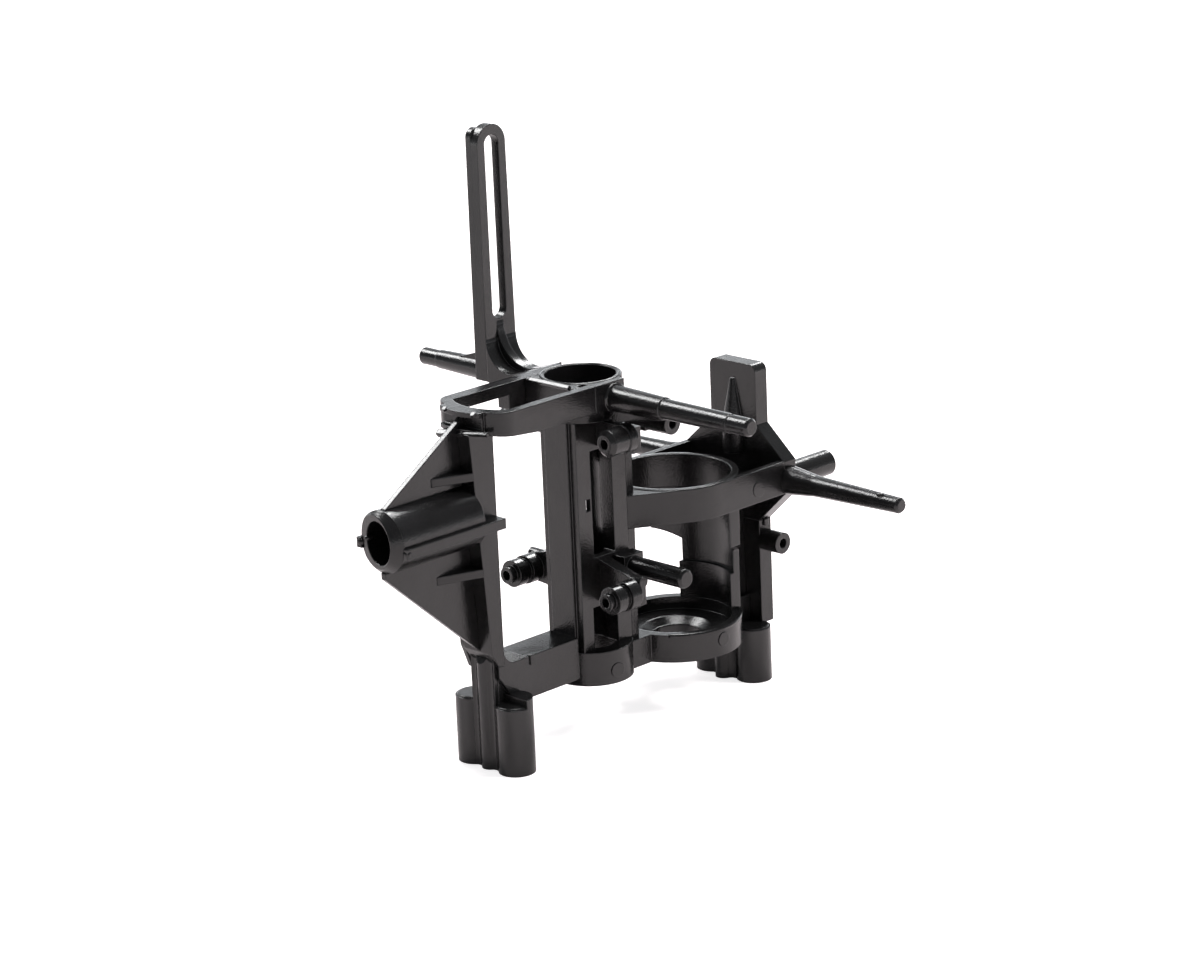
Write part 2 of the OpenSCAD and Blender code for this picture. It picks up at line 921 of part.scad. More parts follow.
// Plan of the web between the two lobes of a leg, with its rounded spine at the rear
module leg_plan(x, back, front) {
    spine_r = 0.9;
    fill_r = 0.6;
    hub = [x - back + spine_r, 0];
    intersection() {
        translate([x - 2 * lobe_r, -leg_core_y])
            square([front - x + 2 * lobe_r, 2 * leg_core_y]);
        difference() {
            union() {
                translate([hub[0] + spine_r / 3, -2 * leg_core_y])
                    square([front - hub[0] + 1, 4 * leg_core_y]);
                translate(hub)
                    circle(spine_r);
                for (s = [-1, 1])
                    polygon([
                        hub,
                        fillet_at(hub, spine_r, [x, s * lobe_y], lobe_r, fill_r),
                        [x, s * lobe_y]
                    ]);
            }
            for (s = [-1, 1])
                translate(fillet_at(hub, spine_r, [x, s * lobe_y], lobe_r, fill_r))
                    circle(fill_r - eps);
        }
    }
}

// Lobe of a leg with the bore for a landing gear strut, open below
module leg_lobe(x, s, top, riser) {
    difference() {
        intersection() {
            translate([x, s * lobe_y, leg_bot])
                cylinder(h = top + riser - leg_bot, r = lobe_r);
            union() {
                block([x - 2 * lobe_r, -3 * lobe_y, leg_bot - 1], [x + 2 * lobe_r, 3 * lobe_y, top]);
                block([x, -3 * lobe_y, leg_bot - 1], [x + 2 * lobe_r, 3 * lobe_y, top + riser + 1]);
            }
        }
        block([x - 2 * lobe_r, -leg_core_y, leg_bot - 1], [x + 2 * lobe_r, leg_core_y, top + riser + 1]);
        translate([x, s * lobe_y, leg_bot - eps])
            cylinder(h = strut_depth + eps, r = strut_d / 2);
    }
}

module front_leg_web() {
    color(plastic)
        translate([0, 0, leg_bot])
            linear_extrude(leg_top_f - leg_bot)
                leg_plan(leg_x_f, back_f, nose_front);
}

module front_leg_right() {
    color(plastic)
        leg_lobe(leg_x_f, -1, leg_top_f, 0);
}

module front_leg_left() {
    color(plastic)
        leg_lobe(leg_x_f, 1, leg_top_f, 0);
}

// Web of the rear leg; it runs up behind the rail to the foot of the pillar
module rear_leg_web() {
    web_top = rail_top + 1.1;
    web_back = leg_x_r - back_r;
    color(plastic)
        difference() {
            intersection() {
                translate([0, 0, leg_bot])
                    linear_extrude(web_top - leg_bot)
                        leg_plan(leg_x_r, back_r, leg_x_r + 1.8);
                plate_xz(2 * keel_w)
                    polygon([
                        [web_back - 1, leg_bot - 1], [leg_x_r + 3, leg_bot - 1],
                        [leg_x_r + 3, web_top + 1], [spine_x - 0.3, web_top + 1],
                        [spine_x - 0.3, web_top], [web_back - 1, web_top - 2.6]
                    ]);
            }
            block([spine_x, -2 * keel_y, rail_bot], [house_back, 2 * keel_y, web_top + 1]);
            plate_xz(2 * keel_w)
                rail_side();
            pillar_shape(2 * keel_w);
        }
}

// Rear lobe; its front half rises beside the rail
module rear_leg_lobe(s) {
    color(plastic)
        difference() {
            leg_lobe(leg_x_r, s, leg_top_r, riser_h);
            plate_xz(keel_w)
                rail_side();
        }
}

module rear_leg_right() {
    rear_leg_lobe(-1);
}

module rear_leg_left() {
    rear_leg_lobe(1);
}

// Raised pad on the left flank, where the pillar stands on the rail
module keel_pad_left() {
    pad_t = 0.5;
    pad_top = rail_top + 3;
    pad_low = rail_top - 0.8;
    color(plastic)
        translate([0, keel_y + pad_t / 2, 0])
            plate_xz(pad_t)
                polygon([
                    [rear_x(pad_top), pad_top], [rear_x(rail_top + 1.65), rail_top + 1.65],
                    [rear_low_x + 0.8, pad_low], [rear_front_x + 0.7, pad_low],
                    [rear_front_x, rail_top], [rear_front_x, pad_top]
                ]);
}

top_deck();
upper_bearing_seat();
upper_post_right();
upper_post_left();
swash_guide();
guide_foot();
rear_pillar();
lower_rail();
front_pillar();
lower_bearing_seat();
boom_socket();
boom_key_right();
boom_key_left();
gusset_upper();
gusset_lower();
shelf_upper_right();
shelf_upper_left();
shelf_lower_right();
shelf_lower_left();
servo_mount_upper_right();
servo_mount_upper_left();
servo_mount_lower_right();
servo_mount_lower_left();
wire_pin();
board_arm();
board_boss_front();
motor_ring();
motor_cradle();
motor_base();
nose_bulkhead();
nose_tab();
nose_post();
nose_post_right();
nose_post_left();
nose_peg();
front_leg_web();
front_leg_right();
front_leg_left();
rear_leg_web();
rear_leg_right();
rear_leg_left();
keel_pad_left();
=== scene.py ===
# %% [markdown]
# # A model helicopter's main frame, dressed for its picture
# The real object is one black plastic moulding: a box of thin pillars that
# carries a rotor shaft, a motor, two servos and a tail boom. Its exact solids
# come from a CAD model. They could be modelled again in Blender, but bores and
# seats that must fit would lose their exact sizes, so they are loaded as they
# are. This lesson adds what they lack: soft moulded edges, the small marks of
# the mould, the look of satin black plastic, and the light, table and camera of
# the picture.

import math

import bmesh
import bpy
from mathutils import Matrix, Vector


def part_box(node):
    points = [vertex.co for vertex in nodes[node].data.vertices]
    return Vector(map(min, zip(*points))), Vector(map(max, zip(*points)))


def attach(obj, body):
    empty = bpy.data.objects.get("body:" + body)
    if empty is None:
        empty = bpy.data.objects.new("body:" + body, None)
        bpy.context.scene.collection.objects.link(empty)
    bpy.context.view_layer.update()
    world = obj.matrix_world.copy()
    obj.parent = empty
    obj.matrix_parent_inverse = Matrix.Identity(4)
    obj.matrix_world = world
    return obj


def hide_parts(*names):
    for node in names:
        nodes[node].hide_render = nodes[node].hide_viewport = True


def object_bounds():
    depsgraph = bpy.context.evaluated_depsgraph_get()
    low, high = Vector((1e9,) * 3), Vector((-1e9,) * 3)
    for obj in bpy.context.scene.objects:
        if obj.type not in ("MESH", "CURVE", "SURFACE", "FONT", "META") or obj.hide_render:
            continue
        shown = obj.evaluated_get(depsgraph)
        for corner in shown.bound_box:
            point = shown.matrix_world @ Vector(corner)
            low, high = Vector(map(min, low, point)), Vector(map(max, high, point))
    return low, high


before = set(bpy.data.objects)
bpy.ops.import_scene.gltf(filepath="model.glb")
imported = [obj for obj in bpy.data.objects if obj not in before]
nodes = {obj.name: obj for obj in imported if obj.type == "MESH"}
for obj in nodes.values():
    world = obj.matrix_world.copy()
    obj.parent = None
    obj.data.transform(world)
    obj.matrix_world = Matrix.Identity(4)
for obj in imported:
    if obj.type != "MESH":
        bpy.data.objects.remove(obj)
cad_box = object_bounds()
MM = 0.001  # Blender works in metres, and the part's sizes are in millimetres
print("CAD nodes:", len(nodes))
print("CAD box in mm:", [[round(v / MM, 2) for v in corner] for corner in cad_box])

# %% [markdown]
# The picture was taken with a long lens, from behind the frame's right-hand
# side and about 17 degrees above it. The camera could be turned by hand until
# the outline fits. Here its place and the three directions of its picture were
# worked out from the straight edges and circles of the photograph, and a matrix
# takes them exactly. A 108 mm lens on a 36 mm sensor has the same narrow view,
# in which near and far pillars look almost equally large.

# %% The camera
camera_place = Vector((-0.23309, -0.23991, 0.09068))
view_right = Vector((0.70495751, -0.70807486, -0.04080319))
view_down = Vector((-0.23034688, -0.17416228, -0.95739637))
view_ahead = Vector((0.67080192, 0.68432265, -0.28587984))

lens = bpy.data.cameras.new("picture_camera")
lens.lens = 108.0
lens.sensor_width = 36.0
lens.clip_start = 0.01
camera = bpy.data.objects.new("picture_camera", lens)
turn = Matrix((view_right, -view_down, -view_ahead)).transposed()
camera.matrix_world = Matrix.Translation(camera_place) @ turn.to_4x4()
bpy.context.scene.collection.objects.link(camera)
bpy.context.scene.camera = camera
print("camera is", round(camera_place.length / MM), "mm from the shaft")

# %% [markdown]
# The frame stands on its four strut sockets, on plain white paper. A curved
# backdrop could be built, but the picture shows no edge of the paper, so a wide
# flat square under the feet is enough.

# %% The table
floor_height = cad_box[0][2]
table_reach = 1.2

table = bmesh.new()
bmesh.ops.create_grid(table, x_segments=1, y_segments=1, size=table_reach)
bmesh.ops.translate(table, verts=table.verts, vec=(0, 0, floor_height))
table_mesh = bpy.data.meshes.new("table_top")
table.to_mesh(table_mesh)
table.free()
table_top = bpy.data.objects.new("table_top", table_mesh)
bpy.context.scene.collection.objects.link(table_top)
print("table top at", round(floor_height / MM, 2), "mm")

# %% [markdown]
# Materials and the room are graphs of nodes. Each node could be made and set in
# several lines of its own. Two small helpers do it in one, so that a graph can
# be read as a list of its nodes and the values on their sockets.


# %% Helpers for graphs of nodes
def add_node(tree, kind, at, **values):
    """One node at a place of the graph, with its settings by name."""
    node = tree.nodes.new(kind)
    node.location = at
    for name, value in values.items():
        setattr(node, name, value)
    return node


def set_inputs(node, **values):
    """Sets a node's sockets by their names, with _ for a space."""
    for name, value in values.items():
        node.inputs[name.replace("_", " ")].default_value = value


print("helpers ready: add_node, set_inputs")

# %% [markdown]
# The picture's paper is pure white, yet the black part is not greyed by it. A
# paper lit up to full white by lamps would throw too much light back at the
# part. So the lamps light it only in part, and a glow that only the camera and
# the mirrored rays can see adds the rest. For the camera the glow is even, so a
# faint shadow stays under the feet. In the mirror of the plastic it is weak near
# the frame and strong further off, which gives a black part its greys.

# %% The paper
paper_white = (0.81, 0.735, 0.738, 1)
glow_for_camera = 0.74

paper = bpy.data.materials.new("white_paper")
paper.use_nodes = True
tree = paper.node_tree
link = tree.links.new
matt = tree.nodes["Principled BSDF"]
set_inputs(matt, Base_Color=paper_white, Roughness=0.9)
ray = add_node(tree, "ShaderNodeLightPath", (-800, -200))
looked_at = add_node(tree, "ShaderNodeMath", (-600, -100), operation="MULTIPLY")
looked_at.inputs[1].default_value = glow_for_camera
place = add_node(tree, "ShaderNodeTexCoord", (-1200, -400))
away = add_node(tree, "ShaderNodeVectorMath", (-1000, -400), operation="LENGTH")
sweep = add_node(tree, "ShaderNodeMapRange", (-800, -400))
set_inputs(sweep, From_Min=0.25, From_Max=0.70, To_Min=0.10, To_Max=2.20)
mirrored = add_node(tree, "ShaderNodeMath", (-600, -300), operation="MULTIPLY")
glow = add_node(tree, "ShaderNodeMath", (-400, -200), operation="ADD")
white = add_node(tree, "ShaderNodeEmission", (-200, -200))
lit = add_node(tree, "ShaderNodeAddShader", (200, 100))
link(place.outputs["Object"], away.inputs[0])
link(away.outputs["Value"], sweep.inputs["Value"])
link(sweep.outputs["Result"], mirrored.inputs[1])
link(ray.outputs["Is Camera Ray"], looked_at.inputs[0])
link(ray.outputs["Is Glossy Ray"], mirrored.inputs[0])
link(looked_at.outputs[0], glow.inputs[0])
link(mirrored.outputs[0], glow.inputs[1])
link(glow.outputs[0], white.inputs["Strength"])
link(matt.outputs["BSDF"], lit.inputs[0])
link(white.outputs["Emission"], lit.inputs[1])
link(lit.outputs["Shader"], tree.nodes["Material Output"].inputs["Surface"])
table_mesh.materials.append(paper)
print("nodes in the paper:", len(tree.nodes))

# %% [markdown]
# Black plastic shows its shape almost only by what it mirrors, and in the
# picture it mirrors a white room. One even white world would be simple, but it
# would turn every face the same grey. So the world has three looks. As a light
# it is a soft grey. The camera sees it as pure white. The gloss sees it brightest
# near the horizon and behind the frame, and dim on the camera's side.

# %% What the gloss sees of the room
behind_frame = (0.70, 0.714, 0.0)

room = bpy.data.worlds.new("white_tent")
room.use_nodes = True
bpy.context.scene.world = room
bpy.context.scene.view_settings.view_transform = "Standard"
tree = room.node_tree
link = tree.links.new
tent = add_node(tree, "ShaderNodeBackground", (0, -400))
set_inputs(tent, Color=(0.93, 0.965, 1.0, 1))
way = add_node(tree, "ShaderNodeTexCoord", (-800, -500))
height = add_node(tree, "ShaderNodeSeparateXYZ", (-600, -500))
sky = add_node(tree, "ShaderNodeMapRange", (-400, -500))
set_inputs(sky, From_Min=0.03, From_Max=0.28, To_Min=2.6, To_Max=0.85)
facing = add_node(tree, "ShaderNodeVectorMath", (-600, -700), operation="DOT_PRODUCT")
facing.inputs[1].default_value = behind_frame
behind = add_node(tree, "ShaderNodeMapRange", (-400, -700))
set_inputs(behind, From_Min=0.30, From_Max=0.85, To_Min=0.22, To_Max=1.0)
tent_white = add_node(tree, "ShaderNodeMath", (-200, -600), operation="MULTIPLY")
link(way.outputs["Generated"], height.inputs["Vector"])
link(way.outputs["Generated"], facing.inputs[0])
link(height.outputs["Z"], sky.inputs["Value"])
link(facing.outputs["Value"], behind.inputs["Value"])
link(sky.outputs["Result"], tent_white.inputs[0])
link(behind.outputs["Result"], tent_white.inputs[1])
link(tent_white.outputs[0], tent.inputs["Strength"])
print("nodes for the mirrored room:", len(tree.nodes))

# %% [markdown]
# Two Mix Shader nodes choose between the three looks. The Light Path node tells
# them what kind of ray has reached the world, which is simpler than three
# separate rooms that would have to be hidden from one another.

# %% Choose the room's look by the kind of ray
soft = tree.nodes["Background"]
set_inputs(soft, Color=(0.92, 0.95, 1.0, 1), Strength=0.35)
backdrop = add_node(tree, "ShaderNodeBackground", (0, -200))
set_inputs(backdrop, Color=(1, 1, 1, 1), Strength=1.0)
ray = add_node(tree, "ShaderNodeLightPath", (-200, 300))
gloss = add_node(tree, "ShaderNodeMixShader", (200, 0))
blend = add_node(tree, "ShaderNodeMixShader", (400, 100))
link(ray.outputs["Is Glossy Ray"], gloss.inputs["Fac"])
link(soft.outputs["Background"], gloss.inputs[1])
link(tent.outputs["Background"], gloss.inputs[2])
link(ray.outputs["Is Camera Ray"], blend.inputs["Fac"])
link(gloss.outputs["Shader"], blend.inputs[1])
link(backdrop.outputs["Background"], blend.inputs[2])
link(blend.outputs["Shader"], tree.nodes["World Output"].inputs["Surface"])
print("room strength as a light:", soft.inputs["Strength"].default_value)

# %% [markdown]
# The white lines along the picture's edges are small mirror images of lamps. The
# chamfers that shine ask for a broad lamp overhead and for one high up on the
# frame's left side, and the glints on the screw bosses for one above and ahead
# of the nose. Spot lights would leave hard dots, so all are square panels. The
# last two are seen only in the gloss. A fourth panel, ahead of the frame and on
# its right, lights the paper and is left out of the gloss.


# %% The lamps
def panel(name, place, aim, size, power, diffuse=True, glossy=True):
    """A square area lamp that looks from one point at another."""
    light = bpy.data.lights.new(name, "AREA")
    light.shape = "SQUARE"
    light.size = size
    light.energy = power
    lamp = bpy.data.objects.new(name, light)
    way = Vector(aim) - Vector(place)
    aimed = way.to_track_quat("-Z", "Y").to_matrix().to_4x4()
    lamp.matrix_world = Matrix.Translation(place) @ aimed
    lamp.visible_diffuse = diffuse
    lamp.visible_glossy = glossy
    bpy.context.scene.collection.objects.link(lamp)
    return lamp


middle = (0.0, 0.0, -0.012)
paper_spot = (0.06, -0.08, -0.034)
lamps = (
    panel("top_panel", (0.10, 0.08, 0.44), middle, 0.17, 2.1),
    panel("left_edge_panel", (-0.068, 0.388, 0.388), middle, 0.21, 2.4, diffuse=False),
    panel("far_panel", (0.32, 0.175, 0.33), middle, 0.13, 1.3, diffuse=False),
    panel("table_light", (0.22, -0.28, 0.34), paper_spot, 0.12, 1.9, glossy=False),
)
watts = sum(lamp.data.energy for lamp in lamps)
print("lamps:", len(lamps), "with", round(watts, 1), "W")

# %% [markdown]
# The whole frame is moulded in one black plastic. It is not a flat black: the
# colour is slightly cloudy, handling left fine dull marks, and the mould's steel
# left a faint waviness in the gloss. Pictures of plastic could be wrapped round
# the part, but they would need unwrapped faces. Noise textures on Object
# coordinates need none, and one pattern runs over every piece.


# %% Colour and marks of the plastic
def noise(tree, place, at, **values):
    """Noise in the object's own space; gives its socket."""
    node = add_node(tree, "ShaderNodeTexNoise", at)
    set_inputs(node, **values)
    tree.links.new(place.outputs["Object"], node.inputs["Vector"])
    return node.outputs["Fac"]


def cloudy_black(tree, place):
    """A near-black that is a little uneven; gives its colour socket."""
    cloud = noise(tree, place, (-1000, 300), Scale=140.0, Detail=3.0, Roughness=0.55)
    ramp = add_node(tree, "ShaderNodeValToRGB", (-700, 300))
    dark, pale = ramp.color_ramp.elements
    dark.position = 0.35
    dark.color = (0.0052, 0.0050, 0.0050, 1)
    pale.position = 0.68
    pale.color = (0.0105, 0.0104, 0.0108, 1)
    tree.links.new(cloud, ramp.inputs["Fac"])
    return ramp.outputs["Color"]


def satin_marks(tree, place):
    """Roughness between satin and a duller satin; gives its socket."""
    marks = noise(tree, place, (-1000, 0), Scale=420.0, Detail=5.0, Roughness=0.62)
    satin = add_node(tree, "ShaderNodeMapRange", (-700, 0))
    set_inputs(satin, From_Min=0.3, From_Max=0.7, To_Min=0.14, To_Max=0.27)
    tree.links.new(marks, satin.inputs["Value"])
    return satin.outputs["Result"]


print("helpers ready: noise, cloudy_black, satin_marks")

# %% [markdown]
# A mould has no knife-sharp edges, and handling rubs them a little paler. Every
# edge of the CAD meshes could be rounded by a Bevel modifier, but that changes
# thousands of thin faces. The Bevel node leaves the mesh alone: it only turns
# the normal near an edge. Where this rounded normal leaves the true one, there
# is an edge, and the paler colour is mixed in.


# %% Rubbed edges and the surface's relief
def rubbed_edges(tree, place, rounded, colour):
    """Mixes a paler colour in along the edges; gives the new colour socket."""
    geometry = add_node(tree, "ShaderNodeNewGeometry", (-1000, 700))
    agree = add_node(tree, "ShaderNodeVectorMath", (-700, 650), operation="DOT_PRODUCT")
    edge = add_node(tree, "ShaderNodeMapRange", (-450, 650))
    set_inputs(edge, From_Min=0.98, From_Max=0.80, To_Min=0.0, To_Max=1.0)
    patchy = noise(tree, place, (-700, 500), Scale=900.0, Detail=4.0, Roughness=0.6)
    worn = add_node(tree, "ShaderNodeMath", (-200, 600), operation="MULTIPLY")
    mixed = add_node(tree, "ShaderNodeMix", (0, 300), data_type="RGBA")
    mixed.inputs["B"].default_value = (0.045, 0.045, 0.047, 1)
    link = tree.links.new
    link(geometry.outputs["Normal"], agree.inputs[0])
    link(rounded, agree.inputs[1])
    link(agree.outputs["Value"], edge.inputs["Value"])
    link(edge.outputs["Result"], worn.inputs[0])
    link(patchy, worn.inputs[1])
    link(worn.outputs["Value"], mixed.inputs["Factor"])
    link(colour, mixed.inputs["A"])
    return mixed.outputs["Result"]


def relief(tree, place, rounded):
    """The steel's waviness and a fine grain; gives the normal socket."""
    wave = noise(tree, place, (-1000, -300), Scale=260.0, Detail=2.0, Roughness=0.5)
    grain = noise(tree, place, (-1000, -600), Scale=5200.0, Detail=2.0, Roughness=0.6)
    wavy = add_node(tree, "ShaderNodeBump", (0, -300))
    set_inputs(wavy, Strength=0.5, Distance=0.12 * MM)
    grainy = add_node(tree, "ShaderNodeBump", (300, -300))
    set_inputs(grainy, Strength=0.7, Distance=0.03 * MM)
    link = tree.links.new
    link(wave, wavy.inputs["Height"])
    link(grain, grainy.inputs["Height"])
    link(rounded, wavy.inputs["Normal"])
    link(wavy.outputs["Normal"], grainy.inputs["Normal"])
    return grainy.outputs["Normal"]


print("helpers ready: rubbed_edges, relief")

# %% [markdown]
# Now the finish is put together. One Principled shader takes the colour, the
# roughness and the normal from the graphs above. Its index of refraction is the
# same all over, so it stands on the shader's own socket.


# %% The black plastic
def moulded_black(material):
    """Satin black injection-moulded plastic in the given material."""
    material.use_nodes = True
    tree = material.node_tree
    tree.nodes.clear()
    out = add_node(tree, "ShaderNodeOutputMaterial", (900, 0))
    shader = add_node(tree, "ShaderNodeBsdfPrincipled", (600, 0))
    set_inputs(shader, IOR=1.49)
    place = add_node(tree, "ShaderNodeTexCoord", (-1300, 0))
    bevel = add_node(tree, "ShaderNodeBevel", (-1000, 600), samples=6)
    set_inputs(bevel, Radius=0.17 * MM)
    rounded = bevel.outputs["Normal"]
    colour = rubbed_edges(tree, place, rounded, cloudy_black(tree, place))
    tree.links.new(colour, shader.inputs["Base Color"])
    tree.links.new(satin_marks(tree, place), shader.inputs["Roughness"])
    tree.links.new(relief(tree, place, rounded), shader.inputs["Normal"])
    tree.links.new(shader.outputs["BSDF"], out.inputs["Surface"])
    return material


black = moulded_black(bpy.data.materials.new("moulded_black"))
print("nodes in the plastic:", len(black.node_tree.nodes))

# %% [markdown]
# Every CAD node takes this plastic through its own slots. Copies of the nodes
# could carry it instead, but the slots leave their exact meshes alone. Two of
# the nodes are replaced further below, and all the others keep their shape.

# %% Dress the CAD nodes
for piece in nodes.values():
    for slot in piece.material_slots:
        slot.material = black
print("dressed", len(nodes), "nodes")

# %% [markdown]
# The CAD solids leave out the small things that a mould leaves behind. They
# could be sculpted into copies of the solids, but then each copy would have to
# replace its solid. Instead each one is its own thin piece, sunk a little into
# the solid that carries it. All are shaped in millimetres as a bmesh and end in
# the same place, where the mesh gets its normals, its plastic and its body.


# %% Helpers that every small piece ends in
WELD = 1e-4  # points nearer than this, in millimetres, are one point


def keep(name, shape):
    """Turns a bmesh in millimetres into a piece of the frame."""
    bmesh.ops.scale(shape, vec=(MM, MM, MM), verts=shape.verts)
    bmesh.ops.remove_doubles(shape, verts=shape.verts, dist=WELD * MM)
    bmesh.ops.recalc_face_normals(shape, faces=shape.faces)
    mesh = bpy.data.meshes.new(name)
    shape.to_mesh(mesh)
    shape.free()
    mesh.materials.append(black)
    piece = bpy.data.objects.new(name, mesh)
    bpy.context.scene.collection.objects.link(piece)
    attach(piece, "root")
    return piece


def soften(shape, width, sharp_angle=0.52):
    """Rounds every edge sharper than an angle in radians, about 30 degrees."""
    sharp = [
        edge for edge in shape.edges
        if len(edge.link_faces) == 2 and edge.calc_face_angle() > sharp_angle
    ]
    bmesh.ops.bevel(
        shape, geom=sharp, offset=width, segments=2, profile=0.5,
        affect="EDGES", material=-1,
    )


def turned(centre, direction):
    """A matrix that puts the local Z axis along a direction at a place."""
    lean = Vector(direction).normalized().to_track_quat("Z", "Y").to_matrix()
    return Matrix.Translation(centre) @ lean.to_4x4()


print("helpers ready: keep, soften, turned")

# %% [markdown]
# Round ejector pins push the part out of its mould and leave faint discs. Three
# are seen from this side: on the lower bearing seat, on the motor base and on
# the long arm of the motor ring. A texture could draw them, but a real disc
# with a soft edge catches the light as theirs does.


# %% Ejector marks
def pad(name, centre, direction, radius, height, edge=0.03):
    """A low round pad; its centre is on the surface that carries it."""
    shape = bmesh.new()
    bmesh.ops.create_cone(
        shape, cap_ends=True, segments=40, radius1=radius, radius2=radius,
        depth=2 * height, matrix=turned(centre, direction),
    )
    soften(shape, edge)
    return keep(name, shape)


ejector_marks = (
    # name, centre, facing, radius and height
    ("eject_mark_seat", (-0.50, -4.02, -27.55), (-0.12, -0.99, 0), 0.78, 0.06),
    ("eject_mark_base", (11.91, -6.60, -27.21), (0, -1, 0), 0.75, 0.05),
    ("eject_mark_arm", (17.54, -6.70, -12.98), (0, -1, 0), 0.85, 0.07),
)
for name, centre, direction, radius, height in ejector_marks:
    pad(name, centre, direction, radius, height)
print("ejector marks:", len(ejector_marks))

# %% [markdown]
# The motor ring's top is a low ridge that shines nearly all the way round,
# because one of its two slopes mirrors the bright horizon. It is turned from its
# profile, as on a lathe, since a round bead would shine only in a hairline.


# %% The motor ring's rim
def lathe(name, centre, profile, steps=96):
    """A ring turned about the upright axis from a profile of (radius, height)."""
    shape = bmesh.new()
    corners = [
        shape.verts.new((centre[0] + r, centre[1], centre[2] + z)) for r, z in profile
    ]
    edges = [shape.edges.new(pair) for pair in zip(corners, corners[1:] + corners[:1])]
    bmesh.ops.spin(
        shape, geom=corners + edges, cent=centre, axis=(0, 0, 1), dvec=(0, 0, 0),
        angle=math.tau, steps=steps, use_merge=True, use_duplicate=False,
    )
    return keep(name, shape)


motor_x = 12
motor_ring_top = -11.05
ridge = ((6.0, -0.3), (6.68, -0.3), (6.68, 0.045), (6.34, 0.08), (6.0, 0.045))
lathe("motor_ring_rim", (motor_x, 0, motor_ring_top), ridge)
print("ridge rises", max(z for r, z in ridge), "mm above the motor ring")

# %% [markdown]
# Where the two upper posts leave the deck, a bead of plastic fills the corner.
# The rims of the bearing seat, the motor base and the pinion's hole are rounded
# too. A curve with a round section could make such beads. A circle that is spun
# about the ring's own axis makes a closed mesh at once, for a whole ring or for
# a part of one.


# %% Helper for beads
def bead(name, centre, axis, start, sweep, thick, steps=96):
    """A round bead swept about an axis, from a start point through an angle."""
    shape = bmesh.new()
    arm = Vector(start) - Vector(centre)
    along = Vector(axis).normalized().cross(arm).normalized()
    ring = bmesh.ops.create_circle(
        shape, cap_ends=False, segments=12, radius=thick, matrix=turned(start, along)
    )
    edges = list({e for v in ring["verts"] for e in v.link_edges})
    closed = sweep == math.tau
    bmesh.ops.spin(
        shape, geom=ring["verts"] + edges, cent=centre, axis=axis, dvec=(0, 0, 0),
        angle=sweep, steps=steps, use_merge=closed, use_duplicate=False,
    )
    if not closed:
        ends = [e for e in shape.edges if e.is_boundary]
        bmesh.ops.holes_fill(shape, edges=ends, sides=0)
    for face in shape.faces:
        face.smooth = len(face.verts) == 4
    return keep(name, shape)


print("helper ready: bead")

# %% [markdown]
# All of these beads stand on sizes of the CAD model: the deck's top, the posts'
# radius and the motor's axis. A whole ring would be as easy on the motor base,
# but its rounded rim is seen on the near side only, so the bead stops there.

# %% Beads and rims
upright, across = (0, 0, 1), (0, 1, 0)
deck_top = 1.65
seat_radius, seat_bead = 3.78, 0.24
seat_z = deck_top - 0.15
seat_start = (seat_radius, 0, seat_z)
bead("bearing_rim", (0, 0, seat_z), upright, seat_start, math.tau, seat_bead)

post_radius, post_root, post_bead = 1.2, 4.62, 0.30
for tag, y in (("right", -post_root), ("left", post_root)):
    root, start = (0, y, 0), (post_radius, y, 0)
    bead("post_root_" + tag, root, across, start, math.tau, post_bead, steps=48)

pinion_radius, pinion_z, pinion_bead = 2.5, -28.0, 0.12
pinion_start = (motor_x + pinion_radius, 0, pinion_z)
bead("pinion_rim", (motor_x, 0, pinion_z), upright, pinion_start, math.tau, pinion_bead)

cup_radius, cup_z, cup_bead = 6.42, -26.13, 0.24
cup_from, cup_sweep = math.radians(-143), math.radians(150)
cup_middle = (motor_x, 0, cup_z)
cup_start = (
    motor_x + cup_radius * math.cos(cup_from), cup_radius * math.sin(cup_from), cup_z
)
bead("motor_base_rim", cup_middle, upright, cup_start, cup_sweep, cup_bead, steps=60)
print("five beads made, the widest of radius", cup_radius, "mm")

# %% [markdown]
# A straight wall with two blunt corners closes the deck's window in front of the
# bearing seat. The CAD solid shows the round seat there. The deck could be
# replaced by a new shape, but blocks that fill the space between the window and
# the seat show the same faces. Their tops stand a few thousandths of a
# millimetre proud, so that no two faces lie in one plane and flicker.


# %% The wall before the bearing seat
def small_block(name, low, high, edge=0.05):
    """A box between two corners, with soft edges."""
    shape = bmesh.new()
    bmesh.ops.create_cube(shape, size=1.0)
    size = [b - a for a, b in zip(low, high)]
    centre = [(a + b) / 2 for a, b in zip(low, high)]
    bmesh.ops.scale(shape, vec=size, verts=shape.verts)
    bmesh.ops.translate(shape, vec=centre, verts=shape.verts)
    soften(shape, edge)
    return keep(name, shape)


wall_low = -0.95
wall_top, corner_top = deck_top + 0.005, deck_top + 0.003
small_block("window_wall", (-4.42, -3.65, wall_low), (-3.56, 3.05, wall_top))
for tag, low_y, high_y in (("left", 2.1, 3.1), ("right", -3.1, -2.1)):
    corner_low, corner_high = (-3.65, low_y, wall_low), (-3.0, high_y, corner_top)
    small_block("window_corner_" + tag, corner_low, corner_high)
print("wall is", round(wall_top - wall_low, 2), "mm high")

# %% [markdown]
# Some edges have a small flat chamfer. Those that face up and back mirror the
# lamp on the left side and show as white lines: the edge of the wall above, and
# the lip below the bay in the deck's rear end. A painted white line would stay
# white from every side. Each is a thin strip instead, with one flat face turned
# halfway between the camera and the lamp, so it shines only from here.

# %% The bright chamfers
halfway_to_lamp = (-0.62, -0.01, 0.785)


